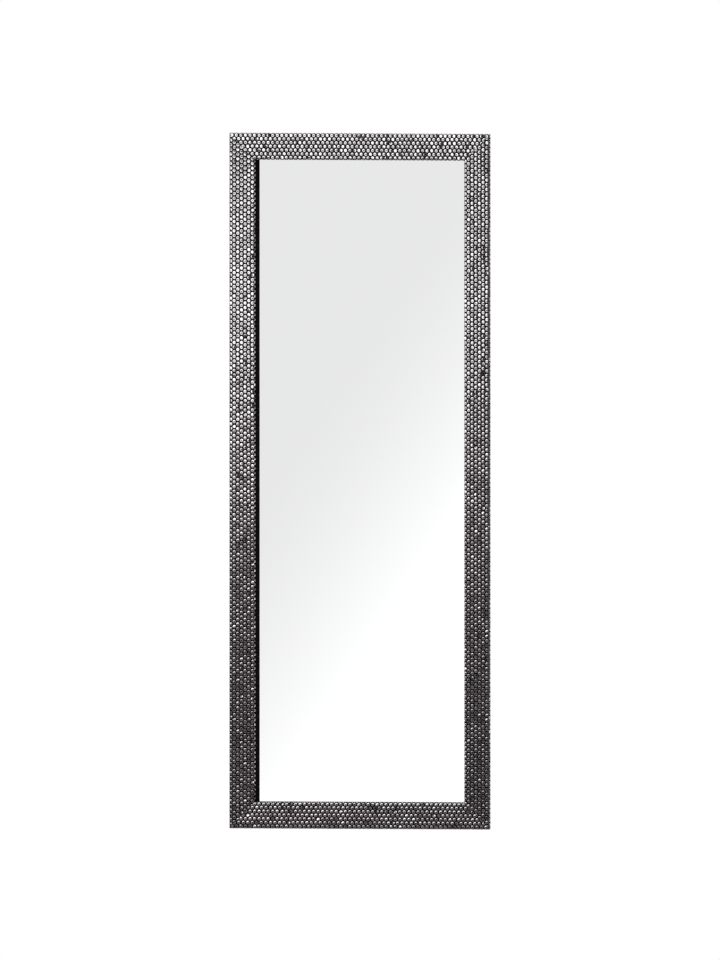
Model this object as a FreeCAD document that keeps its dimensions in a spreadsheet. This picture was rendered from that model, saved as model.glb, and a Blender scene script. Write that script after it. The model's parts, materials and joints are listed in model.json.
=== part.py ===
"""Wall mirror in a mitred moulding faced with a beaded strip, hung on two rings.

Frame of the part: the wall is the plane y = 0, the mirror faces -Y, X runs to the right as seen from
the room and Z is up. The origin is midway between the two wall hooks, at the height where the lifted
rings bear on them. All lengths are millimetres.
"""
import FreeCAD, Part
import math
import os
import Sketcher

# Driving dimensions
DRIVING_SIZES = {
    "overall_width": 500,
    "overall_height": 1300,
    "hook_below_top": 235,
    "face_width": 50,
    "frame_depth": 30,
    "shoulder_radius": 5,
    "strip_thickness": 2,
    "outer_undercut": 6,
    "rebate_width": 8,
    "rebate_depth": 8,
    "mitre_overrun": 5,
    "glass_thickness": 3,
    "glass_edge_chamfer": 0.4,
    "glass_edge_clearance": 1.5,
    "cushion_thickness": 1,
    "board_thickness": 2,
    "tab_thickness": 0.5,
    "tab_width": 6,
    "tab_reach": 9,
    "tab_bite": 3,
    "tab_point": 3,
    "tab_end_distance": 110,
    "nail_leg": 5,
    "nail_thickness": 0.8,
    "nail_length": 10,
    "nail_edge_distance": 9,
    "wire_radius": 1.3,
    "ring_half_width": 9.8,
    "ring_corner_radius": 3,
    "ring_leg": 3.7,
    "ring_butt_gap": 0.4,
    "eye_clearance": 0.3,
    "strap_thickness": 1.2,
    "strap_width": 12,
    "strap_end_radius": 4,
    "strap_end_distance": 6,
    "screw_hole_clearance": 0.3,
    "first_screw_drop": 24,
    "screw_pitch": 12,
    "screw_radius": 1.7,
    "screw_length": 14,
    "screw_tip": 3,
    "screw_head_radius": 3.5,
    "screw_head_height": 2.2,
    "wall_clearance": 0.4,
    "bumper_base_radius": 6,
    "bumper_face_radius": 4.6,
    "bumper_above_bottom": 90,
}
TOUCHING = 1e-6
TABS_PER_STILE = 5
TABS_PER_RAIL = 2
SCREWS_PER_STRAP = 2
WIRE_SIDES = 12


class Size:
    """A length that carries its spreadsheet expression along with its number."""

    def __init__(self, text, value):
        self.text = text
        self.value = value

    def combine(self, sign, other, value):
        return Size(f"({self.text} {sign} {other.text})", value)

    def __add__(self, other):
        return self.combine("+", other, self.value + other.value)

    def __sub__(self, other):
        return self.combine("-", other, self.value - other.value)

    def __neg__(self):
        return Size(f"(-{self.text})", -self.value)

    def __mul__(self, factor):
        return Size(f"({self.text} * {factor})", self.value * factor)

    def __truediv__(self, divisor):
        return Size(f"({self.text} / {divisor})", self.value / divisor)


ZERO = Size("0", 0)


def size(alias):
    return Size(f"Sizes.{alias}", DRIVING_SIZES[alias])


doc = FreeCAD.newDocument("WallMirror")
sheet = doc.addObject("Spreadsheet::Sheet", "Sizes")
for row, (alias, value) in enumerate(DRIVING_SIZES.items(), start=1):
    sheet.set(f"A{row}", alias)
    sheet.set(f"B{row}", str(value))
    sheet.setAlias(f"B{row}", alias)
doc.recompute()

# Sizes that follow from the driving ones
half_width = size("overall_width") / 2
half_height = size("overall_height") / 2
centre_height = size("hook_below_top") - half_height
ledge_depth = size("frame_depth") - size("shoulder_radius")
core_depth = size("frame_depth") - size("strip_thickness")
back_edge = size("face_width") - size("outer_undercut")

glass_back = size("rebate_depth") - size("glass_thickness")
cushion_back = glass_back - size("cushion_thickness")
board_back = cushion_back - size("board_thickness")
tab_back = board_back - size("tab_thickness")
pane_margin = size("face_width") - size("rebate_width") + size("glass_edge_clearance")

eye_bore = size("wire_radius") + size("eye_clearance")
eye_radius = eye_bore + size("strap_thickness")
wall_gap = eye_radius * 2 + size("wall_clearance")
ring_reach = size("ring_corner_radius") + size("ring_leg") + size("ring_half_width")
eye_height = size("wire_radius") - ring_reach
hanger_offset = half_width - size("face_width") + (size("rebate_width") + back_edge) / 2
last_screw_drop = size("first_screw_drop") + size("screw_pitch") * (SCREWS_PER_STRAP - 1)
strap_length = last_screw_drop + size("strap_end_distance")
bumper_height = centre_height - half_height + size("bumper_above_bottom")


def new_body(label, x=ZERO, y=ZERO, z=ZERO, turn=0):
    """A body whose place is bound to the sheet, turned about Y by whole quarters."""
    body = doc.addObject("PartDesign::Body", label)
    body.Placement.Rotation = FreeCAD.Rotation(FreeCAD.Vector(0, 1, 0), turn)
    for axis, place in (("x", x), ("y", y), ("z", z)):
        body.setExpression(f"Placement.Base.{axis}", place.text)
    return body


def new_sketch(body, name, role):
    plane = [feature for feature in body.Origin.OriginFeatures if feature.Role == role][0]
    sketch = body.newObject("Sketcher::SketchObject", f"{body.Name}_{name}")
    sketch.AttachmentSupport = [(plane, "")]
    sketch.MapMode = "FlatFace"
    return sketch


def bind(sketch, kind, geometry, point, place):
    """Tie one coordinate of a sketch point, measured from the sketch's origin, to the sheet."""
    constraint = Sketcher.Constraint(kind, -1, 1, geometry, point, place.value)
    index = sketch.addConstraint(constraint)
    sketch.renameConstraint(index, f"place_{index}")
    sketch.setExpression(f"Constraints.place_{index}", place.text)


def flat(x, y):
    return FreeCAD.Vector(x.value, y.value, 0)


def draw(sketch, corners, bends=None, closed=True):
    """Straight runs through the corners, and an arc about the given centre for each numbered run."""
    bends = bends or {}
    runs = list(zip(corners, corners[1:] + corners[:1]))
    if not closed:
        runs.pop()
    ends = []
    for number, (start, end) in enumerate(runs):
        first, last = flat(*start), flat(*end)
        if number in bends:
            centre = flat(*bends[number])
            outward = ((first + last) * 0.5 - centre).normalize()
            curve = Part.Arc(first, centre + outward * (first - centre).Length, last)
        else:
            curve = Part.LineSegment(first, last)
        geometry = sketch.addGeometry(curve, False)
        swapped = sketch.getPoint(geometry, 1).distanceToPoint(first) > TOUCHING
        ends.append((geometry, 2, 1) if swapped else (geometry, 1, 2))
        bind(sketch, "DistanceX", geometry, ends[-1][1], start[0])
        bind(sketch, "DistanceY", geometry, ends[-1][1], start[1])
        if number in bends:
            bind(sketch, "DistanceY", geometry, 3, bends[number][1])
    if closed:
        followers = ends[1:] + ends[:1]
    else:
        followers = ends[1:]
        bind(sketch, "DistanceX", ends[-1][0], ends[-1][2], corners[-1][0])
        bind(sketch, "DistanceY", ends[-1][0], ends[-1][2], corners[-1][1])
    for end, follower in zip(ends, followers):
        sketch.addConstraint(Sketcher.Constraint("Coincident", end[0], end[2], follower[0], follower[1]))


def draw_circle(sketch, x, y, radius):
    circle = Part.Circle(flat(x, y), FreeCAD.Vector(0, 0, 1), radius.value)
    geometry = sketch.addGeometry(circle, False)
    bind(sketch, "DistanceX", geometry, 3, x)
    bind(sketch, "DistanceY", geometry, 3, y)
    index = sketch.addConstraint(Sketcher.Constraint("Radius", geometry, radius.value))
    sketch.renameConstraint(index, f"radius_{index}")
    sketch.setExpression(f"Constraints.radius_{index}", radius.text)


def pad(body, sketch, length, symmetric=False):
    feature = body.newObject("PartDesign::Pad", f"{sketch.Name}_pad")
    feature.Profile = sketch
    feature.SideType = "Symmetric" if symmetric else "One side"
    feature.setExpression("Length", length.text)
    return feature


def cut_through(body, sketch):
    """Pocket both ways through the body, and insist that it takes material away."""
    doc.recompute()
    before = body.Shape.Volume
    feature = body.newObject("PartDesign::Pocket", f"{sketch.Name}_pocket")
    feature.Profile = sketch
    feature.SideType = "Symmetric"
    feature.Type = "ThroughAll"
    doc.recompute()
    if body.Shape.Volume >= before:
        raise RuntimeError(f"{sketch.Name} cuts nothing")
    return feature


def revolve(body, sketch):
    feature = body.newObject("PartDesign::Revolution", f"{sketch.Name}_revolution")
    feature.Profile = sketch
    feature.ReferenceAxis = (sketch, ["H_Axis"])
    feature.Angle = 360
    return feature


def dress(body, kind, wanted, field, amount):
    """Fillet or chamfer the edges of the body's tip that the given test picks."""
    doc.recompute()
    tip = body.Tip
    names = [f"Edge{number}" for number, edge in enumerate(tip.Shape.Edges, start=1) if wanted(edge)]
    feature = body.newObject(kind, f"{body.Name}_{field.lower()}")
    feature.Base = (tip, names)
    feature.setExpression(field, amount.text)
    return feature


def same(number, length):
    return abs(number - length.value) < TOUCHING


def group(label, members):
    compound = doc.addObject("Part::Compound", label)
    compound.Links = members
    return compound


# The four sides: name, kind, turn from the top rail, half the mirror across and along the side, and tabs
SIDES = (
    ("top", "rail", 0, half_height, half_width, TABS_PER_RAIL),
    ("right", "stile", 90, half_width, half_height, TABS_PER_STILE),
    ("bottom", "rail", 180, half_height, half_width, TABS_PER_RAIL),
    ("left", "stile", 270, half_width, half_height, TABS_PER_STILE),
)


def side_body(label, turn):
    return new_body(label, y=-wall_gap, z=centre_height, turn=turn)


def section(across, corners):
    """Profile points (depth from the frame's back, distance from the sight edge) as sketch points."""
    sight = across - size("face_width")
    return [(-depth, sight + distance) for depth, distance in corners]


def mitred_length(body, profile, across, along):
    """Run the profile along the side and cut both ends at 45 degrees."""
    pad(body, profile, along * 2, symmetric=True)
    waste = new_sketch(body, "mitres", "XZ_Plane")
    over = size("mitre_overrun")
    past, short = along + over, along - size("face_width") - over
    top, bottom = across + over, across - size("face_width") - over
    draw(waste, [(past, top), (short, bottom), (past, bottom)])
    draw(waste, [(-past, top), (-past, bottom), (-short, bottom)])
    cut_through(body, waste)


def moulding(name, turn, across, along):
    """Black core: rebate at the back, undercut outer side, rounded face with a ledge at each shoulder."""
    face, radius, strip = size("face_width"), size("shoulder_radius"), size("strip_thickness")
    body = side_body(f"{name}_moulding", turn)
    profile = new_sketch(body, "profile", "YZ_Plane")
    corners = section(across, [
        (ZERO, size("rebate_width")),
        (ZERO, back_edge),
        (ledge_depth, face),
        (ledge_depth, face - strip),
        (core_depth, face - radius),
        (core_depth, radius),
        (ledge_depth, strip),
        (ledge_depth, ZERO),
        (size("rebate_depth"), ZERO),
        (size("rebate_depth"), size("rebate_width")),
    ])
    outer, inner = section(across, [(ledge_depth, face - radius), (ledge_depth, radius)])
    draw(profile, corners, {3: outer, 5: inner})
    mitred_length(body, profile, across, along)
    return body


def bead_strip(name, turn, across, along):
    """Metallised strip wrapped over the face and both shoulders, down to the ledges of the core."""
    face, radius, strip = size("face_width"), size("shoulder_radius"), size("strip_thickness")
    body = side_body(f"{name}_bead_strip", turn)
    profile = new_sketch(body, "profile", "YZ_Plane")
    corners = section(across, [
        (ledge_depth, ZERO),
        (size("frame_depth"), radius),
        (size("frame_depth"), face - radius),
        (ledge_depth, face),
        (ledge_depth, face - strip),
        (core_depth, face - radius),
        (core_depth, radius),
        (ledge_depth, strip),
    ])
    outer, inner = section(across, [(ledge_depth, face - radius), (ledge_depth, radius)])
    draw(profile, corners, {0: inner, 2: outer, 4: outer, 6: inner})
    mitred_length(body, profile, across, along)
    return body


def pane(label, back, thickness):
    """Sheet in the rebate, standing off the rebate walls by the edge clearance."""
    body = new_body(label, y=-(wall_gap + back), z=centre_height)
    outline = new_sketch(body, "outline", "XZ_Plane")
    wide, tall = half_width - pane_margin, half_height - pane_margin
    draw(outline, [(-wide, -tall), (wide, -tall), (wide, tall), (-wide, tall)])
    pad(body, outline, thickness)
    return body


def mirror_glass():
    body = pane("mirror_glass", glass_back, size("glass_thickness"))
    thickness = size("glass_thickness").value
    dress(
        body, "PartDesign::Chamfer", lambda edge: edge.Length > 2 * thickness,
        "Size", size("glass_edge_chamfer"),
    )
    return body


def side_tabs(name, turn, across, along, count):
    """Pointed steel tabs driven into the rebate wall of one side, lying on the backing board."""
    body = new_body(f"{name}_tabs", y=-(wall_gap + tab_back), z=centre_height, turn=turn)
    outline = new_sketch(body, "outline", "XZ_Plane")
    wall = across - size("face_width") + size("rebate_width")
    inner_end, root = wall - size("tab_reach"), wall + size("tab_bite")
    half_tab = size("tab_width") / 2
    first = size("tab_end_distance") - along
    for number in range(count):
        middle = first - first * (2 * number / (count - 1))
        draw(outline, [
            (middle - half_tab, inner_end),
            (middle + half_tab, inner_end),
            (middle + half_tab, root),
            (middle, root + size("tab_point")),
            (middle - half_tab, root),
        ])
    pad(body, outline, size("tab_thickness"))
    return body


def corner_v_nails():
    """Two angle nails across each mitre, driven in flush from the back."""
    body = new_body("corner_v_nails", y=-wall_gap, z=centre_height)
    outline = new_sketch(body, "outline", "XZ_Plane")
    leg, thickness, margin = size("nail_leg"), size("nail_thickness"), size("nail_edge_distance")
    for from_sight in (size("rebate_width") + margin, back_edge - margin):
        apex_x = half_width - size("face_width") + from_sight
        apex_z = half_height - size("face_width") + from_sight
        angle = [
            (apex_x, apex_z),
            (apex_x - leg, apex_z),
            (apex_x - leg, apex_z - thickness),
            (apex_x - thickness, apex_z - thickness),
            (apex_x - thickness, apex_z - leg),
            (apex_x, apex_z - leg),
        ]
        draw(outline, angle)
        draw(outline, [(-x, z) for x, z in angle])
        draw(outline, [(x, -z) for x, z in angle])
        draw(outline, [(-x, -z) for x, z in angle])
    pad(body, outline, size("nail_length"))
    return body


def hanger_strap(name, x):
    """Flat steel strap whose upper end is rolled into an eye for the ring."""
    body = new_body(f"{name}_hanger_strap", x=x, y=-wall_gap, z=eye_height)
    leaf = new_sketch(body, "leaf", "YZ_Plane")
    draw(leaf, [
        (ZERO, -strap_length),
        (size("strap_thickness"), -strap_length),
        (size("strap_thickness"), ZERO),
        (ZERO, ZERO),
    ])
    pad(body, leaf, size("strap_width"), symmetric=True)
    roll = new_sketch(body, "roll", "YZ_Plane")
    draw_circle(roll, eye_radius, ZERO, eye_radius)
    pad(body, roll, size("strap_width"), symmetric=True)
    bore = new_sketch(body, "bore", "YZ_Plane")
    draw_circle(bore, eye_radius, ZERO, eye_bore)
    cut_through(body, bore)
    holes = new_sketch(body, "holes", "XZ_Plane")
    for number in range(SCREWS_PER_STRAP):
        drop = size("first_screw_drop") + size("screw_pitch") * number
        draw_circle(holes, ZERO, -drop, size("screw_radius") + size("screw_hole_clearance"))
    cut_through(body, holes)
    dress(
        body, "PartDesign::Fillet",
        lambda edge: same(edge.BoundBox.ZMax, -strap_length) and same(edge.Length, size("strap_thickness")),
        "Radius", size("strap_end_radius"),
    )
    return body


def hanger_ring(name, x):
    """D-shaped ring of many-sided wire whose bar turns in the eye, with its butt joint hidden there."""
    body = new_body(f"{name}_hanger_ring", x=x, y=eye_radius - wall_gap, z=eye_height)
    wide, corner = size("ring_half_width"), size("ring_corner_radius")
    gap = size("ring_butt_gap") / 2
    shoulder, bow = -corner, -(corner + size("ring_leg"))
    path = new_sketch(body, "path", "XZ_Plane")
    corners = [
        (gap, ZERO),
        (wide - corner, ZERO),
        (wide, shoulder),
        (wide, bow),
        (ZERO, bow - wide),
        (-wide, bow),
        (-wide, shoulder),
        (corner - wide, ZERO),
        (-gap, ZERO),
    ]
    bends = {
        1: (wide - corner, shoulder),
        3: (ZERO, bow),
        4: (ZERO, bow),
        6: (corner - wide, shoulder),
    }
    draw(path, corners, bends, closed=False)
    wire = new_sketch(body, "wire", "YZ_Plane")
    wire.setExpression("AttachmentOffset.Base.z", gap.text)
    radius = size("wire_radius")
    turns = [2 * math.pi * side / WIRE_SIDES for side in range(WIRE_SIDES)]
    draw(wire, [(radius * math.cos(turn), radius * math.sin(turn)) for turn in turns])
    sweep = body.newObject("PartDesign::AdditivePipe", f"{body.Name}_sweep")
    sweep.Profile = wire
    sweep.Spine = path
    return body


def screw(label, x, drop):
    """Pan-head screw through the strap into the stile; its thread fills the pilot hole."""
    body = new_body(label, x=x, y=-wall_gap, z=eye_height - drop)
    outline = new_sketch(body, "outline", "YZ_Plane")
    seat = size("strap_thickness")
    crown = seat + size("screw_head_height")
    tip = seat - size("screw_length")
    draw(outline, [
        (tip, ZERO),
        (crown, ZERO),
        (crown, size("screw_head_radius")),
        (seat, size("screw_head_radius")),
        (seat, size("screw_radius")),
        (tip + size("screw_tip"), size("screw_radius")),
    ])
    revolve(body, outline)
    return body


def hanger_screws(name, x):
    drops = [size("first_screw_drop") + size("screw_pitch") * n for n in range(SCREWS_PER_STRAP)]
    screws = [screw(f"{name}_screw_{n + 1}", x, drop) for n, drop in enumerate(drops)]
    return group(f"{name}_hanger_screws", screws)


def wall_bumper(name, x):
    """Rubber foot on the back of the stile, as tall as the gap that the hangers need."""
    body = new_body(f"{name}_wall_bumper", x=x, y=-wall_gap, z=bumper_height)
    outline = new_sketch(body, "outline", "YZ_Plane")
    draw(outline, [
        (ZERO, ZERO),
        (wall_gap, ZERO),
        (wall_gap, size("bumper_face_radius")),
        (ZERO, size("bumper_base_radius")),
    ])
    revolve(body, outline)
    return body


# Pieces that are driven or screwed into the mouldings come first, because they shape their own slots
nails = corner_v_nails()
tabs = group("glazing_tabs", [
    side_tabs(name, turn, across, along, count) for name, _, turn, across, along, count in SIDES
])
HANGER_PLACES = (("left", -hanger_offset), ("right", hanger_offset))
screws = [hanger_screws(name, x) for name, x in HANGER_PLACES]
driven = group("driven_pieces", [nails, tabs] + screws)

sub_parts = [nails, tabs] + screws
for name, kind, turn, across, along, _ in SIDES:
    slotted = doc.addObject("Part::Cut", f"{name}_{kind}")
    slotted.Base = moulding(name, turn, across, along)
    slotted.Tool = driven
    sub_parts.append(slotted)
    sub_parts.append(bead_strip(name, turn, across, along))

sub_parts.append(mirror_glass())
sub_parts.append(pane("cushion_sheet", cushion_back, size("cushion_thickness")))
sub_parts.append(pane("backing_board", board_back, size("board_thickness")))
for name, x in HANGER_PLACES:
    sub_parts.append(hanger_strap(name, x))
    sub_parts.append(hanger_ring(name, x))
    sub_parts.append(wall_bumper(name, x))
doc.recompute()

# Every object has to be sound before anything is written
for item in doc.Objects:
    if "Invalid" in item.State or "Error" in item.State:
        raise RuntimeError(f"{item.Label} failed: {item.State}")
for item in sub_parts:
    if item.Shape.isNull() or not item.Shape.isValid():
        raise RuntimeError(f"{item.Label} has no valid shape")

os.makedirs("parts", exist_ok=True)
for item in sub_parts:
    item.Shape.exportStep(f"parts/{item.Label}.step")
    print(f"{item.Label}: {len(item.Shape.Solids)} solids, {item.Shape.Volume / 1000:.2f} cm3")
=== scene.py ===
"""Looks of a wall mirror whose frame is faced with rows of metallised beads.

Lengths are metres in the frame of the part: the wall is the plane y = 0, the mirror faces -Y, X runs to the
right as seen from the room and Z is up.
"""

import json
import math
import random

import bmesh
import bpy
from mathutils import Matrix, Vector, noise


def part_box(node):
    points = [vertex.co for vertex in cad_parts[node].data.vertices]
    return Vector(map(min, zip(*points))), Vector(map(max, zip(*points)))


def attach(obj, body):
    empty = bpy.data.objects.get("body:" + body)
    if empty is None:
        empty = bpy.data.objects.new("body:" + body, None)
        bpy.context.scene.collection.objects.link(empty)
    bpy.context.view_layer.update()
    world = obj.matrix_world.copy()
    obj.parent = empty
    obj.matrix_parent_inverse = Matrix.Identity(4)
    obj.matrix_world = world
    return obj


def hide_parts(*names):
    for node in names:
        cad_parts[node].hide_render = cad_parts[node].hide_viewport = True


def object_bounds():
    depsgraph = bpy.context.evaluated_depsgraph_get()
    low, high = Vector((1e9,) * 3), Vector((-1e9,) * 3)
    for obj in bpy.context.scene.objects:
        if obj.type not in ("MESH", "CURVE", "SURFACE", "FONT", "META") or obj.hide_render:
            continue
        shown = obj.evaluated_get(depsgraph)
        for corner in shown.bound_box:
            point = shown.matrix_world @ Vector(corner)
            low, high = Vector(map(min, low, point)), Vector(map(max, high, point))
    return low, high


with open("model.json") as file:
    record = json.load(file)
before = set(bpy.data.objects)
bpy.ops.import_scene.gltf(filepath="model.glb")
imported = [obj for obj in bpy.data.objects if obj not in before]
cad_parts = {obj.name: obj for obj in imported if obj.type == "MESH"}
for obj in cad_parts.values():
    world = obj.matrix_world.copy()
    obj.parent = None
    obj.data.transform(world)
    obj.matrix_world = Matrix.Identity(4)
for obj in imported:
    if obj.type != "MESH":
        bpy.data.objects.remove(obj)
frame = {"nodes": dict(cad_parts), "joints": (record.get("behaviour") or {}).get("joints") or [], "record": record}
cad_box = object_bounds()
nodes = frame["nodes"]
scene = bpy.context.scene

MM = 0.001
SIDES = ("left", "right")
TO_ROOM = Vector((0, -1, 0))
SHARP_ANGLE = math.radians(38)
WELD_DISTANCE = 0.001 * MM

# The facing's section, read from the strip and the moulding that carries it
strip_low, strip_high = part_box("top_bead_strip")
core_low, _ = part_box("top_rail")
FACE_WIDTH = strip_high.z - strip_low.z
SHOULDER_RADIUS = strip_high.y - strip_low.y
STRIP_THICKNESS = core_low.y - strip_low.y
CORE_RADIUS = SHOULDER_RADIUS - STRIP_THICKNESS
LEDGE_Y = strip_high.y

# Bead layout, along and across a side
BEAD_PITCH = 8.7 * MM
ROW_SPACING = 7.0 * MM
FACE_ROWS = 7
SHOULDER_ROW_ANGLE = math.radians(84)

# One bead: a dome that falls off by a power of the distance from its crown, and a skirt under it
BEAD_RADIUS = 4.1 * MM
BEAD_HEIGHT = 1.9 * MM
BEAD_SIDES = 12
BEAD_RINGS = (0.4, 0.75, 0.95)
BEAD_FLATNESS = 3.0
BEAD_SKIRT = 2.0 * MM

# Unevenness of the beads: how they are seated, and how far aside they throw their reflections
BEAD_TILT = 0.03
BEAD_GLINT = 0.06
LIVELY_BEAD_SHARE = 0.25
LIVELY_BEAD_GLINT = 0.25
FOIL_WAVE = 0.16
FOIL_WAVES_PER_METRE = 28

# Heights over the ledge between which the painted shade on the sight row's lower flank gives way to metal
SIGHT_SHADE_HEIGHTS = (0.6 * MM, 2.4 * MM)

# Skin under the beads
SKIN_THICKNESS = 0.25 * MM
SHOULDER_STEPS = 6


# Mesh helpers

def everything(bm):
    """All verts, edges and faces."""
    return bm.verts[:] + bm.edges[:] + bm.faces[:]


def verts_of(geometry):
    """The verts among the results of an operator."""
    return [item for item in geometry if isinstance(item, bmesh.types.BMVert)]


def into_mesh(bm, name):
    """Turn a bmesh into mesh data and free it."""
    mesh = bpy.data.meshes.new(name)
    bm.to_mesh(mesh)
    bm.free()
    return mesh


def add_object(name, data):
    """Put an object with this data into the scene."""
    thing = bpy.data.objects.new(name, data)
    scene.collection.objects.link(thing)
    return thing


def finish_piece(bm, name, body, replaced, material):
    """Make the bmesh an object at the origin that rides on a body and stands for a CAD node."""
    for face in bm.faces:
        face.smooth = True
    for edge in bm.edges:
        edge.smooth = edge.calc_face_angle(0) < SHARP_ANGLE
    mesh = into_mesh(bm, name)
    mesh.materials.append(material)
    piece = add_object(name, mesh)
    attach(piece, body)
    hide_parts(replaced)
    return piece


def close_holes(bm):
    """Fill every open border."""
    open_edges = [edge for edge in bm.edges if edge.is_boundary]
    bmesh.ops.holes_fill(bm, edges=open_edges, sides=0)


def cut_and_cap(bm, point, outward):
    """Cut away what lies on the outward side of a plane and close the cut."""
    bmesh.ops.bisect_plane(bm, geom=everything(bm), plane_co=point, plane_no=outward, clear_outer=True)
    close_holes(bm)


def shells(bm):
    """Faces of each separate closed shell."""
    left = set(bm.faces)
    while left:
        shell = [left.pop()]
        for face in shell:
            neighbours = [other for edge in face.edges for other in edge.link_faces if other in left]
            left.difference_update(neighbours)
            shell.extend(dict.fromkeys(neighbours))
        yield shell


def shell_volume(shell):
    """Volume inside a shell, negative where the shell is inside out."""
    apex = shell[0].verts[0].co
    return sum(face.calc_area() * face.normal.dot(face.verts[0].co - apex) for face in shell) / 3


def face_outward(bm):
    """Wind the faces of each shell alike, then turn over the shells that are inside out."""
    bmesh.ops.recalc_face_normals(bm, faces=bm.faces[:])
    bm.normal_update()
    inside_out = [face for shell in shells(bm) if shell_volume(shell) < 0 for face in shell]
    bmesh.ops.reverse_faces(bm, faces=inside_out)


def spin_profile(bm, points, axis, steps):
    """Spin a chain of points a full turn about an axis through the origin."""
    verts = [bm.verts.new(point) for point in points]
    edges = [bm.edges.new(pair) for pair in zip(verts, verts[1:])]
    bmesh.ops.spin(
        bm, geom=verts + edges, cent=(0, 0, 0), axis=axis, angle=2 * math.pi, steps=steps, use_merge=True,
    )
    bmesh.ops.remove_doubles(bm, verts=bm.verts[:], dist=WELD_DISTANCE)


def lathe(profile, steps):
    """Closed solid about the Y axis from (radius, height) points, of which both ends lie on the axis."""
    bm = bmesh.new()
    spin_profile(bm, [(radius, height, 0) for radius, height in profile], (0, 1, 0), steps)
    face_outward(bm)
    return bm


# Bead facing

def wrap(across, rise):
    """Where a point of the flat strip goes once it is wrapped over the shoulders, and how far it bends."""
    straight = min(max(across, SHOULDER_RADIUS), FACE_WIDTH - SHOULDER_RADIUS)
    bend = (across - straight) / SHOULDER_RADIUS
    radius = CORE_RADIUS + rise
    return straight + radius * math.sin(bend), radius * math.cos(bend), bend


def cut_mitres(bm, half_length):
    """Cut both ends of a side on its mitre planes."""
    sight_end = half_length - FACE_WIDTH
    for way in (-1, 1):
        cut_and_cap(bm, (way * sight_end, 0, 0), (way, -1, 0))


def bead_mesh():
    """One low dome with a flattened crown, closed underneath; it carries how high each point stands."""
    bm = bmesh.new()
    rise = bm.verts.layers.float.new("bead_rise")
    dome = [(0, 1)] + [(ring, 1 - ring ** BEAD_FLATNESS) for ring in BEAD_RINGS]
    points = [(ring * BEAD_RADIUS, 0, height * BEAD_HEIGHT) for ring, height in dome]
    points.append((BEAD_RADIUS, 0, -BEAD_SKIRT))
    spin_profile(bm, points, (0, 0, 1), BEAD_SIDES)
    close_holes(bm)
    face_outward(bm)
    for vert in bm.verts:
        vert[rise] = max(0, vert.co.z / BEAD_HEIGHT)
    return into_mesh(bm, "bead_pattern")


def row_places(offset):
    """Distance of each bead row from the sight edge on the flat strip, the shoulder rows included."""
    middle = FACE_WIDTH / 2 + offset
    rows = [middle + (row - (FACE_ROWS - 1) / 2) * ROW_SPACING for row in range(FACE_ROWS)]
    overhang = SHOULDER_RADIUS * SHOULDER_ROW_ANGLE
    sight_row = SHOULDER_RADIUS - overhang + offset
    back_row = FACE_WIDTH - SHOULDER_RADIUS + overhang + offset
    return [sight_row, *rows, back_row]


def bead_tilt(chance):
    """Slight uneven seat of a bead."""
    along = Matrix.Rotation(chance.gauss(0, BEAD_TILT), 4, "Y")
    across = Matrix.Rotation(chance.gauss(0, BEAD_TILT), 4, "X")
    return along @ across


def bead_glint(along, across, lean, seed, chance):
    """Throw of a bead's reflections: the wave of the foil plus chance, which is greater on lively beads."""
    uneven = LIVELY_BEAD_GLINT if chance.random() < LIVELY_BEAD_SHARE else BEAD_GLINT
    place = Vector((along * FOIL_WAVES_PER_METRE, across * FOIL_WAVES_PER_METRE, seed))
    wave = noise.noise_vector(place) * FOIL_WAVE
    return Vector((wave.x + chance.gauss(lean[0], uneven), wave.y + chance.gauss(lean[1], uneven), 0))


def sight_unshaded_share(height):
    """Share of bare metal left on the sight row, whose lower flank is painted black as shade, like the wall."""
    start, end = SIGHT_SHADE_HEIGHTS
    return min(max((height - start) / (end - start), 0), 1)


def set_beads(bm, pattern, half_length, phase, offset, lean, seed, turn):
    """Seat the bead along every row on the wrapped strip, each second row shifted by half a pitch."""
    chance = random.Random(seed)
    noise.seed_set(seed)
    rise = bm.verts.layers.float.new("bead_rise")
    tone = bm.verts.layers.float.new("bead_tone")
    glint = bm.verts.layers.float_vector.new("bead_glint")
    count = 2 * math.ceil(half_length / BEAD_PITCH) + 1
    for row, across in enumerate(row_places(offset)):
        seat_across, seat_rise, bend = wrap(across, 0)
        upright = Matrix.Rotation(-bend, 4, "X")
        shift = phase * BEAD_PITCH + (row % 2) * BEAD_PITCH / 2
        for number in range(count):
            along = (number - count // 2) * BEAD_PITCH + shift
            first = len(bm.verts)
            bm.from_mesh(pattern)
            bm.verts.ensure_lookup_table()
            place = Matrix.Translation((along, seat_across, seat_rise)) @ upright @ bead_tilt(chance)
            bead_tone = chance.random()
            throw = turn @ bead_glint(along, across, lean, seed, chance)
            for vert in bm.verts[first:]:
                vert.co = place @ vert.co
                # Painted shade: the sight row's lower flank, by the wall, turns black
                if row == 0:
                    vert[rise] *= sight_unshaded_share(vert.co.z)
                vert[tone] = bead_tone
                vert[glint] = throw


def strip_skin(half_length):
    """Thin sheet under the beads, cut across where it bends and wrapped over the shoulders."""
    overhang = SHOULDER_RADIUS * math.pi / 2
    width = FACE_WIDTH - 2 * SHOULDER_RADIUS + 2 * overhang
    bm = bmesh.new()
    bmesh.ops.create_cube(bm, size=1)
    bmesh.ops.scale(bm, vec=(2 * half_length, width, SKIN_THICKNESS), verts=bm.verts[:])
    bmesh.ops.translate(bm, vec=(0, FACE_WIDTH / 2, SKIN_THICKNESS / 2), verts=bm.verts[:])
    for step in range(SHOULDER_STEPS):
        inward = overhang * step / SHOULDER_STEPS
        for across in (SHOULDER_RADIUS - inward, FACE_WIDTH - SHOULDER_RADIUS + inward):
            bmesh.ops.bisect_plane(bm, geom=everything(bm), plane_co=(0, across, 0), plane_no=(0, 1, 0))
    for vert in bm.verts:
        vert.co.y, vert.co.z, _ = wrap(vert.co.y, vert.co.z)
    return bm


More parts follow.
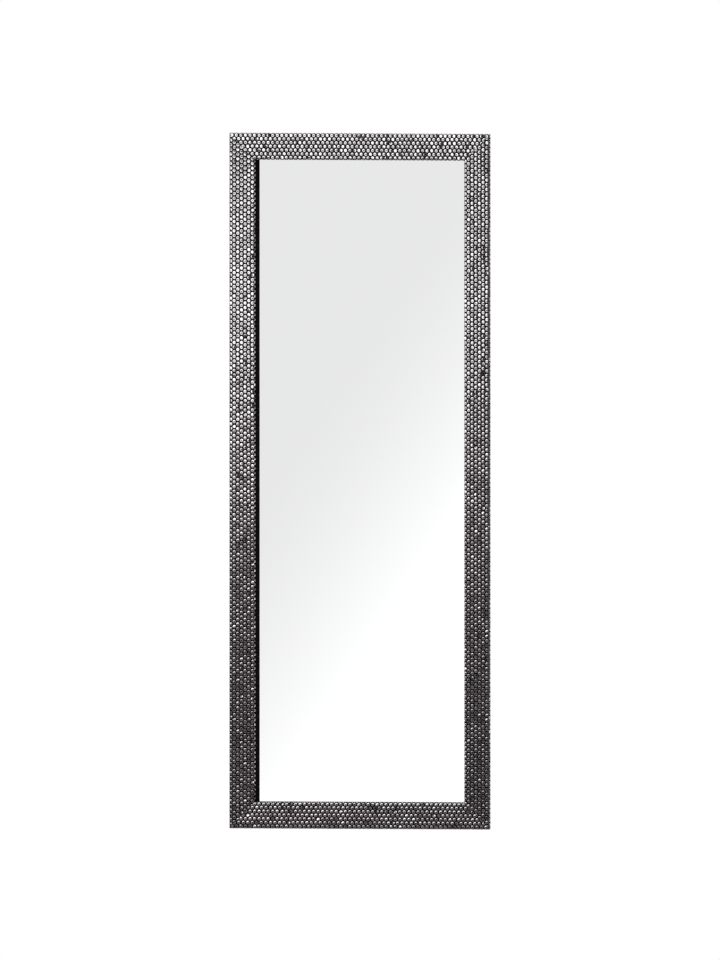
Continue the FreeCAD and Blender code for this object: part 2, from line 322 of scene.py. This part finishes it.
def bead_facing(side, along, outward, phase, offset, lean, seed, pattern, material):
    """Skin and beads of one side, mitred and turned into place."""
    low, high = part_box(f"{side}_bead_strip")
    half_length = max(high.x - low.x, high.z - low.z) / 2
    centre = (low + high) / 2
    turn = Matrix((along, outward, TO_ROOM)).transposed()
    skin = strip_skin(half_length)
    cut_mitres(skin, half_length)
    skin_mesh = into_mesh(skin, "strip_skin")

    bm = bmesh.new()
    set_beads(bm, pattern, half_length, phase, offset, lean, seed, turn)
    cut_and_cap(bm, (0, 0, 0), (0, 0, -1))
    cut_mitres(bm, half_length)
    bm.from_mesh(skin_mesh)
    bpy.data.meshes.remove(skin_mesh)

    sight_middle = Vector((centre.x, LEDGE_Y, centre.z)) - outward * FACE_WIDTH / 2
    bm.transform(Matrix.Translation(sight_middle) @ turn.to_4x4())
    face_outward(bm)
    return finish_piece(
        bm, f"{side}_bead_facing", "frame", f"{side}_bead_strip", material,
    )


# Hanging rings

WIRE_SEGMENTS = 16
RING_CORNER = 3 * MM
RING_CORNER_STEPS = 8
RING_BOW_STEPS = 28
RING_BUTT_GAP = 0.2 * MM


def loop_end(result):
    """Edges and verts of the newest ring of a tube that is being drawn out."""
    return [item for item in result if not isinstance(item, bmesh.types.BMFace)]


def run_wire(bm, loop, move):
    """Draw the tube straight on."""
    edges = [item for item in loop if isinstance(item, bmesh.types.BMEdge)]
    grown = bmesh.ops.extrude_edge_only(bm, edges=edges)
    end = loop_end(grown["geom"])
    bmesh.ops.translate(bm, vec=move, verts=verts_of(end))
    return end


def bend_wire(bm, loop, centre, angle, steps):
    """Draw the tube on around a bend."""
    bent = bmesh.ops.spin(bm, geom=loop, cent=centre, axis=(0, 1, 0), angle=angle, steps=steps)
    return loop_end(bent["geom_last"])


def hanger_ring(side, material):
    """D-shaped ring of round wire, drawn from one end of its butt joint round to the other."""
    low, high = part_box(f"{side}_hanger_ring")
    pivot = next(j["pos_m"] for j in frame["joints"] if j["name"] == f"{side}_ring_swing")
    wire = (high.y - low.y) / 2
    half = (high.x - low.x) / 2 - wire
    leg = pivot[2] - low.z - wire - RING_CORNER - half
    bar = half - RING_CORNER - RING_BUTT_GAP
    bm = bmesh.new()
    circle = bmesh.ops.create_circle(bm, segments=WIRE_SEGMENTS, radius=wire)
    bmesh.ops.rotate(bm, verts=circle["verts"], cent=(0, 0, 0), matrix=Matrix.Rotation(math.pi / 2, 3, "Y"))
    bmesh.ops.translate(bm, verts=circle["verts"], vec=(RING_BUTT_GAP, 0, 0))
    loop = run_wire(bm, bm.edges[:] + bm.verts[:], (bar, 0, 0))
    loop = bend_wire(bm, loop, (half - RING_CORNER, 0, -RING_CORNER), math.pi / 2, RING_CORNER_STEPS)
    loop = run_wire(bm, loop, (0, 0, -leg))
    loop = bend_wire(bm, loop, (0, 0, -RING_CORNER - leg), math.pi, RING_BOW_STEPS)
    loop = run_wire(bm, loop, (0, 0, leg))
    loop = bend_wire(bm, loop, (RING_CORNER - half, 0, -RING_CORNER), math.pi / 2, RING_CORNER_STEPS)
    run_wire(bm, loop, (bar, 0, 0))
    close_holes(bm)
    face_outward(bm)
    bmesh.ops.translate(bm, vec=pivot, verts=bm.verts[:])
    return finish_piece(
        bm, f"{side}_wire_ring", f"{side}_ring", f"{side}_hanger_ring", material,
    )


# Hanger screws

# Radius and height in mm, from the tip to the crown
SCREW_PROFILE = (
    (0, 0), (1.7, 3.0), (1.7, 14.0), (3.3, 14.0), (3.5, 14.3), (3.4, 15.0), (2.9, 15.7), (1.9, 16.1),
    (0, 16.2),
)
SCREW_HEAD_RADIUS = 3.5 * MM
SCREW_STEPS = 32

# Cross recess, in the faces of the head above CROWN_FOOT
CROWN_FOOT = 15.4 * MM
RECESS_HALF_WIDTH = 0.5 * MM
RECESS_REACH = 1.7 * MM
RECESS_DEPTH = 1.1 * MM


def cross_recess(bm):
    """Split the head's crown along the edges of a cross and push the cross in."""
    for axis in (Vector((1, 0, 0)), Vector((0, 0, 1))):
        for distance in (-RECESS_REACH, -RECESS_HALF_WIDTH, RECESS_HALF_WIDTH, RECESS_REACH):
            crown = [face for face in bm.faces if face.calc_center_median().y > CROWN_FOOT]
            geometry = list({item for face in crown for item in (*face.verts, *face.edges, face)})
            bmesh.ops.bisect_plane(bm, geom=geometry, plane_co=axis * distance, plane_no=axis)
    arms = []
    for face in bm.faces:
        middle = face.calc_center_median()
        short, far = sorted((abs(middle.x), abs(middle.z)))
        if middle.y > CROWN_FOOT and short < RECESS_HALF_WIDTH and far < RECESS_REACH:
            arms.append(face)
    sunk = bmesh.ops.extrude_face_region(bm, geom=arms)
    bmesh.ops.delete(bm, geom=arms, context="FACES_ONLY")
    bmesh.ops.translate(bm, vec=(0, -RECESS_DEPTH, 0), verts=verts_of(sunk["geom"]))


def hanger_screws(side, material):
    """Two pan-head screws with a cross recess, driven through the strap."""
    low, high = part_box(f"{side}_hanger_screws")
    middle_x = (low.x + high.x) / 2
    bm = lathe([(radius * MM, height * MM) for radius, height in SCREW_PROFILE], SCREW_STEPS)
    cross_recess(bm)
    face_outward(bm)
    bmesh.ops.translate(bm, vec=(middle_x, low.y, low.z + SCREW_HEAD_RADIUS), verts=bm.verts[:])
    second = bmesh.ops.duplicate(bm, geom=everything(bm))
    rise = high.z - low.z - 2 * SCREW_HEAD_RADIUS
    bmesh.ops.translate(bm, vec=(0, 0, rise), verts=verts_of(second["geom"]))
    return finish_piece(
        bm, f"{side}_pan_screws", "frame", f"{side}_hanger_screws", material,
    )


# Wall bumpers

BUMPER_FACE_SHARE = 0.77
BUMPER_EDGE = 0.9 * MM
BUMPER_EDGE_STEPS = 4
BUMPER_STEPS = 40


def wall_bumper(side, material):
    """Tapered rubber foot with a rounded face edge."""
    low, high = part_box(f"{side}_wall_bumper")
    radius = (high.x - low.x) / 2
    height = high.y - low.y
    bm = lathe([(0, 0), (radius, 0), (radius * BUMPER_FACE_SHARE, height), (0, height)], BUMPER_STEPS)
    outer = {vert for vert in bm.verts if vert.co.y > height / 2 and vert.co.xz.length > MM}
    rim = [edge for edge in bm.edges if outer.issuperset(edge.verts)]
    bmesh.ops.bevel(
        bm, geom=rim, offset=BUMPER_EDGE, affect="EDGES", segments=BUMPER_EDGE_STEPS, profile=0.5,
        material=-1,
    )
    face_outward(bm)
    bmesh.ops.translate(bm, vec=((low.x + high.x) / 2, low.y, (low.z + high.z) / 2), verts=bm.verts[:])
    return finish_piece(
        bm, f"{side}_rubber_foot", "frame", f"{side}_wall_bumper", material,
    )


# Node helpers

WHITE = (1, 1, 1)

# Range that a noise texture seldom leaves
NOISE_LOW = 0.3
NOISE_HIGH = 0.7

MOTTLE_DETAIL = 3
GRAIN_DETAIL = 5


def feed(tree, socket, value):
    """Link an output to a socket, or set the socket to a plain value."""
    if isinstance(value, bpy.types.NodeSocket):
        tree.links.new(value, socket)
    else:
        socket.default_value = value


def operate(tree, kind, operation, values):
    """Node of a kind that works on outputs or plain values."""
    node = tree.nodes.new(kind)
    node.operation = operation
    for socket, value in zip(node.inputs, values):
        feed(tree, socket, value)
    return node


def number_from(tree, operation, *values):
    """Number that a math node works out."""
    return operate(tree, "ShaderNodeMath", operation, values).outputs["Value"]


def vector_from(tree, operation, *values):
    """Vector that a vector math node works out."""
    return operate(tree, "ShaderNodeVectorMath", operation, values).outputs["Vector"]


def length_along(tree, vector, axis):
    """How far a vector reaches along an axis."""
    return operate(tree, "ShaderNodeVectorMath", "DOT_PRODUCT", (vector, axis)).outputs["Value"]


def spread(tree, value, low, high, start=NOISE_LOW, end=NOISE_HIGH):
    """Map a mask that runs from start to end to a range of plain numbers."""
    node = tree.nodes.new("ShaderNodeMapRange")
    node.inputs["From Min"].default_value = start
    node.inputs["From Max"].default_value = end
    node.inputs["To Min"].default_value = low
    node.inputs["To Max"].default_value = high
    tree.links.new(value, node.inputs["Value"])
    return node.outputs["Result"]


def blend_colours(tree, mask, first, second):
    """Mix two colours, each a triple or an output, by a mask."""
    node = tree.nodes.new("ShaderNodeMix")
    node.data_type = "RGBA"
    tree.links.new(mask, node.inputs["Factor"])
    for name, colour in (("A", first), ("B", second)):
        socket = next(s for s in node.inputs if s.name == name and s.type == "RGBA")
        feed(tree, socket, (*colour, 1) if isinstance(colour, tuple) else colour)
    return next(s for s in node.outputs if s.type == "RGBA")


def attribute(tree, name, output="Fac"):
    """A value that the verts carry."""
    node = tree.nodes.new("ShaderNodeAttribute")
    node.attribute_name = name
    return node.outputs[output]


def bump(tree, height, shader, distance):
    """Let a height turn the normals of a shader."""
    node = tree.nodes.new("ShaderNodeBump")
    node.inputs["Distance"].default_value = distance
    tree.links.new(height, node.inputs["Height"])
    tree.links.new(node.outputs["Normal"], shader.inputs["Normal"])
    return node


def grain_group():
    """Node group with a broad mottle and a fine grain, each at its own scale."""
    group = bpy.data.node_groups.new("surface_grain", "ShaderNodeTree")
    face = group.interface
    face.new_socket("Vector", in_out="INPUT", socket_type="NodeSocketVector")
    face.new_socket("Mottle Scale", in_out="INPUT", socket_type="NodeSocketFloat")
    face.new_socket("Grain Scale", in_out="INPUT", socket_type="NodeSocketFloat")
    face.new_socket("Mottle", in_out="OUTPUT", socket_type="NodeSocketFloat")
    face.new_socket("Grain", in_out="OUTPUT", socket_type="NodeSocketFloat")
    entry = group.nodes.new("NodeGroupInput")
    leave = group.nodes.new("NodeGroupOutput")
    for name, detail in (("Mottle", MOTTLE_DETAIL), ("Grain", GRAIN_DETAIL)):
        texture = group.nodes.new("ShaderNodeTexNoise")
        texture.inputs["Detail"].default_value = detail
        group.links.new(entry.outputs["Vector"], texture.inputs["Vector"])
        group.links.new(entry.outputs[f"{name} Scale"], texture.inputs["Scale"])
        group.links.new(texture.outputs["Fac"], leave.inputs[name])
    return group


def add_grain(tree, group, mottle_scale, grain_scale, stretch=(1, 1, 1)):
    """Mottle and grain laid over an object at these scales."""
    place = tree.nodes.new("ShaderNodeTexCoord")
    mapping = tree.nodes.new("ShaderNodeMapping")
    mapping.inputs["Scale"].default_value = stretch
    grain = tree.nodes.new("ShaderNodeGroup")
    grain.node_tree = group
    grain.inputs["Mottle Scale"].default_value = mottle_scale
    grain.inputs["Grain Scale"].default_value = grain_scale
    tree.links.new(place.outputs["Object"], mapping.inputs["Vector"])
    tree.links.new(mapping.outputs["Vector"], grain.inputs["Vector"])
    return grain


# Materials

def new_material(name):
    """Material with its node tree and its shader."""
    material = bpy.data.materials.new(name)
    material.use_nodes = True
    return material, material.node_tree, material.node_tree.nodes["Principled BSDF"]


def grained_finish(
    name, group, dark, light, roughness, mottle_scale, grain_scale, relief, stretch=(1, 1, 1), flecks=0,
):
    """Finish whose colour and roughness drift between two values, with flecks and a fine relief."""
    material, tree, shader = new_material(name)
    grain = add_grain(tree, group, mottle_scale, grain_scale, stretch)
    mask = tree.nodes.new("ShaderNodeMix")
    mask.inputs["Factor"].default_value = flecks
    tree.links.new(grain.outputs["Mottle"], mask.inputs["A"])
    tree.links.new(grain.outputs["Grain"], mask.inputs["B"])
    tree.links.new(blend_colours(tree, mask.outputs["Result"], dark, light), shader.inputs["Base Color"])
    tree.links.new(spread(tree, grain.outputs["Grain"], *roughness), shader.inputs["Roughness"])
    bump(tree, grain.outputs["Grain"], shader, relief)
    return material, shader


# Bead foil, with the shares of a bead's height at which bare metal and the painted crown reflection begin and are
# complete
METAL_EDGE = (0.55, 0.66)
REFLECTED_DOT_EDGE = (0.91, 0.98)
# Painted shade: black on the bead flanks and in the gaps between beads, where shade falls
GAP_SHADE_COLOUR = (0.006, 0.004, 0.0048)
SILVER_COLOURS = ((0.67, 0.655, 0.655), (0.95, 0.95, 0.96))
# Painted reflection of the dark camera side: a dot on each crown, dark or pale by the bead's tone
REFLECTED_DOT_COLOURS = ((0.02, 0.018, 0.02), (0.7, 0.7, 0.7))
REFLECTED_DOT_TONES = (0.5, 0.95)
FOIL_ROUGHNESS = (0.06, 0.12)
FOIL_RELIEF = 0.2 * MM


def glinting_normal(tree):
    """Surface normal turned by each bead's own throw."""
    surface = tree.nodes.new("ShaderNodeNewGeometry")
    throw = attribute(tree, "bead_glint", "Vector")
    turned = vector_from(tree, "ADD", surface.outputs["Normal"], throw)
    return vector_from(tree, "NORMALIZE", turned)


def bead_foil(group):
    """Metallised beads with a painted dark or pale reflection on the crown, over black painted shade in the gaps.
    """
    material, tree, shader = new_material("bead_foil")
    rise = attribute(tree, "bead_rise")
    tone = attribute(tree, "bead_tone")
    grain = add_grain(tree, group, mottle_scale=380, grain_scale=2600)
    metal = spread(tree, rise, 0, 1, *METAL_EDGE)
    # Painted reflection: mask of the crown's dot and its colour
    crown = spread(tree, rise, 0, 1, *REFLECTED_DOT_EDGE)
    silver = blend_colours(tree, tone, *SILVER_COLOURS)
    dot = blend_colours(tree, spread(tree, tone, 0, 1, *REFLECTED_DOT_TONES), *REFLECTED_DOT_COLOURS)
    silver_with_reflected_dot = blend_colours(tree, crown, silver, dot)
    # Painted shade: below the bare metal the flanks are black and not metallic
    tree.links.new(blend_colours(tree, metal, GAP_SHADE_COLOUR, silver_with_reflected_dot), shader.inputs["Base Color"])
    tree.links.new(metal, shader.inputs["Metallic"])
    tree.links.new(spread(tree, grain.outputs["Grain"], *FOIL_ROUGHNESS), shader.inputs["Roughness"])
    relief = bump(tree, grain.outputs["Mottle"], shader, FOIL_RELIEF)
    tree.links.new(glinting_normal(tree), relief.inputs["Normal"])
    shader.inputs["Specular IOR Level"].default_value = 0
    return material


# Mouldings
OUTER_HALVES = (strip_high.x, (cad_box[1].z - cad_box[0].z) / 2)
SEAM_HALF_WIDTH = 0.15 * MM
SEAM_COLOUR = (0.05, 0.047, 0.045)
SATIN_COAT = 0.35


def distances_from_middle(tree):
    """How far a point lies from the middle of the mirror, sideways and up or down."""
    low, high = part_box("mirror_glass")
    place = tree.nodes.new("ShaderNodeTexCoord")
    centred = vector_from(tree, "SUBTRACT", place.outputs["Object"], (low + high) / 2)
    split = tree.nodes.new("ShaderNodeSeparateXYZ")
    tree.links.new(vector_from(tree, "ABSOLUTE", centred), split.inputs["Vector"])
    return split.outputs["X"], split.outputs["Z"]


def inside_opening(tree, distances):
    """Mask of the walls that face the glass."""
    limits = [half - FACE_WIDTH + SHOULDER_RADIUS / 2 for half in OUTER_HALVES]
    within = [number_from(tree, "LESS_THAN", *pair) for pair in zip(distances, limits)]
    return number_from(tree, "MULTIPLY", *within)


def mitre_seams(tree, distances):
    """Mask of the fine joint lines that run from the corners of the frame to the opening."""
    lead = number_from(tree, "SUBTRACT", *distances)
    return number_from(tree, "COMPARE", lead, OUTER_HALVES[0] - OUTER_HALVES[1], SEAM_HALF_WIDTH)


def black_moulding(group):
    """Satin black foil with fine mitre lines; the walls towards the glass are left matt."""
    material, shader = grained_finish(
        "black_moulding", group, dark=(0.005, 0.0039, 0.0043), light=(0.0095, 0.0075, 0.0081),
        roughness=(0.5, 0.65), mottle_scale=40, grain_scale=1400, relief=0.02 * MM,
    )
    tree = material.node_tree
    distances = distances_from_middle(tree)
    foil = shader.inputs["Base Color"].links[0].from_socket
    seamed = blend_colours(tree, mitre_seams(tree, distances), foil, SEAM_COLOUR)
    tree.links.new(seamed, shader.inputs["Base Color"])
    satin = spread(tree, inside_opening(tree, distances), SATIN_COAT, 0, 0, 1)
    tree.links.new(satin, shader.inputs["Coat Weight"])
    shader.inputs["Coat Roughness"].default_value = 0.42
    shader.inputs["Specular IOR Level"].default_value = 0
    return material


# Glass, boards and hardware
GLASS_COLOURS = ((0.925, 0.935, 0.93), (0.935, 0.945, 0.94))
GLASS_ROUGHNESS = (0.0, 0.004)


def silvered_glass(group):
    """Mirror silver that is hardly uneven."""
    material, tree, shader = new_material("silvered_glass")
    grain = add_grain(tree, group, mottle_scale=3, grain_scale=60)
    silver = blend_colours(tree, grain.outputs["Mottle"], *GLASS_COLOURS)
    tree.links.new(silver, shader.inputs["Base Color"])
    tree.links.new(spread(tree, grain.outputs["Grain"], *GLASS_ROUGHNESS), shader.inputs["Roughness"])
    shader.inputs["Metallic"].default_value = 1
    return material


def hardboard(group):
    """Pressed brown fibres."""
    material, shader = grained_finish(
        "hardboard", group, dark=(0.1, 0.045, 0.02), light=(0.42, 0.26, 0.145), roughness=(0.5, 0.68),
        mottle_scale=30, grain_scale=650, relief=0.05 * MM, stretch=(1, 1, 0.5), flecks=0.75,
    )
    shader.inputs["Specular IOR Level"].default_value = 0.35
    return material


def cushion_card(group):
    """Pale brown card."""
    material, _ = grained_finish(
        "cushion_card", group, dark=(0.5, 0.42, 0.32), light=(0.66, 0.58, 0.47), roughness=(0.8, 0.9),
        mottle_scale=60, grain_scale=900, relief=0.04 * MM,
    )
    return material


def zinc_steel(group):
    """Bright zinc over steel."""
    material, shader = grained_finish(
        "zinc_steel", group, dark=(0.5, 0.51, 0.53), light=(0.7, 0.71, 0.73), roughness=(0.24, 0.38),
        mottle_scale=220, grain_scale=1500, relief=0.01 * MM,
    )
    shader.inputs["Metallic"].default_value = 1
    return material


def bumper_rubber(group):
    """Dull black rubber."""
    material, shader = grained_finish(
        "bumper_rubber", group, dark=(0.018, 0.018, 0.018), light=(0.04, 0.04, 0.041),
        roughness=(0.66, 0.82), mottle_scale=300, grain_scale=2200, relief=0.03 * MM,
    )
    shader.inputs["Specular IOR Level"].default_value = 0.3
    return material


# Studio

VIEW_AZIMUTH = math.radians(12.8)
VIEW_ELEVATION = math.radians(1.25)
FRAME_PIXELS = 960
METRES_PER_PIXEL = 1.8686 * MM
CAMERA_DISTANCE = 6
OUTLINE_SHIFT_PIXELS = -0.3
OUTLINE_DROP_PIXELS = 1.2
FLOOR_BELOW = 0.45
FLOOR_RADIUS = 3.5
FLOOR_STEPS = 96


def direction(azimuth, elevation):
    """Unit vector from the mirror towards a place in the room."""
    level = math.cos(elevation)
    return Vector((math.sin(azimuth) * level, -math.cos(azimuth) * level, math.sin(elevation)))


def place_camera():
    """Parallel view that fits the mirror's outline to its place in the picture."""
    lens = bpy.data.cameras.new("camera")
    lens.type = "ORTHO"
    lens.ortho_scale = FRAME_PIXELS * METRES_PER_PIXEL
    camera = add_object("camera", lens)
    back = direction(VIEW_AZIMUTH, VIEW_ELEVATION)
    target = Vector((0, (strip_low.y + strip_high.y) / 2, (cad_box[0].z + cad_box[1].z) / 2))
    target.x -= OUTLINE_SHIFT_PIXELS * METRES_PER_PIXEL
    target.z += OUTLINE_DROP_PIXELS * METRES_PER_PIXEL
    camera.location = target + back * CAMERA_DISTANCE
    camera.rotation_mode = "QUATERNION"
    camera.rotation_quaternion = (-back).to_track_quat("-Z", "Y")
    scene.camera = camera


def floor(group):
    """Pale floor well below the mirror, kept out of reflections."""
    bm = bmesh.new()
    bmesh.ops.create_circle(bm, cap_ends=True, segments=FLOOR_STEPS, radius=FLOOR_RADIUS)
    bmesh.ops.translate(bm, vec=(0, 0, cad_box[0].z - FLOOR_BELOW), verts=bm.verts[:])
    mesh = into_mesh(bm, "floor")
    ground = add_object("floor", mesh)
    material, _ = grained_finish(
        "pale_floor", group, dark=(0.82, 0.82, 0.82), light=(0.86, 0.86, 0.86), roughness=(0.7, 0.8),
        mottle_scale=0.8, grain_scale=40, relief=0.1 * MM,
    )
    mesh.materials.append(material)
    ground.visible_glossy = False


def area_lamp(
    name, place, width, height, fade, start, length, ease, tones, shade, receivers, tilt=math.pi / 2,
):
    """Flat lamp that brightens along a direction, lights only some pieces and is as bright at any size."""
    lamp = bpy.data.lights.new(name, "AREA")
    lamp.shape = "RECTANGLE"
    lamp.size = width
    lamp.size_y = height
    lamp.energy = math.pi * width * height
    lamp.use_nodes = True
    tree = lamp.node_tree
    where = tree.nodes.new("ShaderNodeNewGeometry")
    along = length_along(tree, where.outputs["Position"], fade)
    eased = number_from(tree, "POWER", spread(tree, along, 0, 1, start, start + length), ease)
    emission = tree.nodes["Emission"]
    tree.links.new(blend_colours(tree, eased, shade, WHITE), emission.inputs["Color"])
    tree.links.new(spread(tree, eased, *tones, 0, 1), emission.inputs["Strength"])
    panel = add_object(name, lamp)
    panel.location = place
    panel.rotation_euler = (tilt, 0, 0)
    panel.visible_camera = False
    lit = bpy.data.collections.new(f"{name}_lights")
    for piece in receivers:
        lit.objects.link(piece)
    panel.light_linking.receiver_collection = lit


# Bead lamps: gap in front of the beads, edges, and the direction, start and length over which tones come up
UPWARDS = Vector((0, 0, 1))
UP_LEFT = Vector((-0.5, 0, 0.866))
BEAD_LAMPS = {
    "top": {
        "gap": 2, "left": -6, "right": 1.1, "low": -2, "high": 5,
        "fade": UPWARDS, "start": -5, "length": 1, "tones": (0.055, 1.3),
    },
    "right": {
        "gap": 0.13, "left": -0.8, "right": 0.265, "low": -1.12, "high": 0.6,
        "fade": UPWARDS, "start": -1.02, "length": 0.78, "tones": (0.032, 1.06),
    },
    "bottom": {
        "gap": 0.2, "left": -1.2, "right": 0.3, "low": -1.4, "high": 0.6,
        "fade": UP_LEFT, "start": -1.2, "length": 1.2, "tones": (0.06, 1.4),
    },
    "left": {
        "gap": 0.13, "left": -1.2, "right": -0.13, "low": -1.12, "high": 0.25,
        "fade": UPWARDS, "start": -0.885, "length": 0.6, "tones": (0.048, 1.22),
    },
}
BEAD_LAMP_EASE = 3
BEAD_LAMP_SHADE = (1, 0.87, 0.93)


def bead_lamp(side, facing):
    """Softbox in front of one side that fades downwards, so that low beads get only rim light."""
    lamp = BEAD_LAMPS[side]
    width = lamp["right"] - lamp["left"]
    height = lamp["high"] - lamp["low"]
    middle_x = (lamp["left"] + lamp["right"]) / 2
    middle_z = (lamp["low"] + lamp["high"]) / 2
    place = (middle_x, strip_low.y - lamp["gap"], middle_z)
    area_lamp(
        f"{side}_bead_lamp", place, width, height, fade=lamp["fade"], start=lamp["start"],
        length=lamp["length"], ease=BEAD_LAMP_EASE, tones=lamp["tones"], shade=BEAD_LAMP_SHADE,
        receivers=[facing],
    )


# Lamps that the glass reflects
GLASS_LAMP_DISTANCE = 3
GLASS_LAMP_WIDTH = 12
GLASS_LAMP_HEIGHT = 8
GLASS_TONES = (0.8385, 1.06)
FLOOR_TONES = (0.72, 0.9)
SHADE_SLOPE = math.radians(34)
SHADE_START = 0.084
SHADE_LENGTH = 0.332
SHADE_EASE = 1.5


def glass_lamp(glass):
    """Wide panel that fills the mirror with a pale tone, shaded off towards its upper left."""
    low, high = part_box("mirror_glass")
    middle_z = (low.z + high.z) / 2
    place = Vector((0, low.y - GLASS_LAMP_DISTANCE, middle_z))
    slope = Vector((math.cos(SHADE_SLOPE), 0, -math.sin(SHADE_SLOPE)))
    mirrored = Vector((-math.tan(VIEW_AZIMUTH), 0, -math.tan(VIEW_ELEVATION))) * GLASS_LAMP_DISTANCE
    area_lamp(
        "glass_lamp", place, GLASS_LAMP_WIDTH, GLASS_LAMP_HEIGHT, fade=slope,
        start=SHADE_START + mirrored.dot(slope), length=SHADE_LENGTH, ease=SHADE_EASE, tones=GLASS_TONES,
        shade=WHITE, receivers=[glass],
    )


def floor_lamp(glass):
    """Panel on the floor that shows the pale floor in the mirror when it is seen from above."""
    place = Vector((0, -GLASS_LAMP_DISTANCE / 2, cad_box[0].z - FLOOR_BELOW))
    area_lamp(
        "floor_lamp", place, GLASS_LAMP_WIDTH, GLASS_LAMP_DISTANCE, fade=TO_ROOM, start=0,
        length=GLASS_LAMP_DISTANCE, ease=1, tones=FLOOR_TONES, shade=WHITE, receivers=[glass], tilt=math.pi,
    )


# Room that metal reflects, with tones by the angle in degrees from the mirrored line of sight
DARK_SIDE = (0.021, 0.0185, 0.0195)
SIDE_WALLS = (0.073, 0.0625, 0.067)
ROOM_TONES = (
    (0, DARK_SIDE), (12, DARK_SIDE), (28, SIDE_WALLS), (55, SIDE_WALLS), (80, DARK_SIDE), (112, DARK_SIDE),
    (145, WHITE),
)
SKY_TONES = (0.75, 1.15)
CEILING = (1.15, 1.15, 1.15)
CEILING_EDGE = (0.66, 0.82)
CEILING_SIDE = Vector((-0.45, 0, 0.893))
GROUND = (0.16, 0.148, 0.156)
GROUND_EDGE = (-0.85, -0.65)


def room_tone(tree, ray):
    """Tone of the room by the angle between a ray and the mirrored line of sight."""
    towards = length_along(tree, ray, direction(-VIEW_AZIMUTH, -VIEW_ELEVATION))
    angle = number_from(tree, "ARCCOSINE", towards)
    ramp = tree.nodes.new("ShaderNodeValToRGB")
    stops = ramp.color_ramp.elements
    while len(stops) < len(ROOM_TONES):
        stops.new(1)
    for stop, (degrees, tone) in zip(stops, ROOM_TONES):
        stop.position = degrees / 180
        stop.color = (*tone, 1)
    tree.links.new(number_from(tree, "DIVIDE", angle, math.pi), ramp.inputs["Fac"])
    return ramp.outputs["Color"]


def studio_world():
    """White behind the mirror, soft light from above, and a room with a dark camera side for metal."""
    world = bpy.data.worlds.new("studio")
    scene.world = world
    world.use_nodes = True
    tree = world.node_tree
    ray = tree.nodes.new("ShaderNodeTexCoord").outputs["Generated"]
    path = tree.nodes.new("ShaderNodeLightPath")
    split = tree.nodes.new("ShaderNodeSeparateXYZ")
    tree.links.new(ray, split.inputs["Vector"])
    sky = spread(tree, split.outputs["Z"], *SKY_TONES, -1, 1)
    overhead = spread(tree, length_along(tree, ray, CEILING_SIDE), 0, 1, *CEILING_EDGE)
    underfoot = spread(tree, split.outputs["Z"], 1, 0, *GROUND_EDGE)
    grounded = blend_colours(tree, underfoot, room_tone(tree, ray), GROUND)
    reflected = blend_colours(tree, overhead, grounded, CEILING)
    lit = blend_colours(tree, path.outputs["Is Glossy Ray"], sky, reflected)
    shown = blend_colours(tree, path.outputs["Is Camera Ray"], lit, WHITE)
    tree.links.new(shown, tree.nodes["Background"].inputs["Color"])


# Assembly

# Ways along and outward, phase in pitches, shift of the rows, lean of the glints and seed of each facing
FACING_LAYOUT = {
    "top": {
        "along": Vector((1, 0, 0)), "outward": Vector((0, 0, 1)),
        "phase": 0.40, "offset": 0, "lean": (0, 0), "seed": 11,
    },
    "right": {
        "along": Vector((0, 0, -1)), "outward": Vector((1, 0, 0)),
        "phase": -0.32, "offset": -1.9 * MM, "lean": (0, 0), "seed": 12,
    },
    "bottom": {
        "along": Vector((-1, 0, 0)), "outward": Vector((0, 0, -1)),
        "phase": -0.39, "offset": 0, "lean": (0.12, -0.12), "seed": 13,
    },
    "left": {
        "along": Vector((0, 0, 1)), "outward": Vector((-1, 0, 0)),
        "phase": -0.34, "offset": 1.1 * MM, "lean": (0, 0), "seed": 14,
    },
}

surface_grain = grain_group()
finishes = {
    "black_moulding": black_moulding(surface_grain),
    "bead_foil": bead_foil(surface_grain),
    "silvered_glass": silvered_glass(surface_grain),
    "cushion_card": cushion_card(surface_grain),
    "hardboard": hardboard(surface_grain),
    "zinc_steel": zinc_steel(surface_grain),
    "bumper_rubber": bumper_rubber(surface_grain),
}
for part in frame["record"]["subparts"]:
    cad_mesh = nodes[part["node"]].data
    cad_mesh.materials.clear()
    cad_mesh.materials.append(finishes[part["material_slot"]])

bead = bead_mesh()
facings = {
    side: bead_facing(side, pattern=bead, material=finishes["bead_foil"], **layout)
    for side, layout in FACING_LAYOUT.items()
}
bpy.data.meshes.remove(bead)
for side in SIDES:
    hanger_ring(side, finishes["zinc_steel"])
    hanger_screws(side, finishes["zinc_steel"])
    wall_bumper(side, finishes["bumper_rubber"])

place_camera()
floor(surface_grain)
for side, facing in facings.items():
    bead_lamp(side, facing)
glass_lamp(nodes["mirror_glass"])
floor_lamp(nodes["mirror_glass"])
studio_world()
scene.view_settings.view_transform = "Standard"
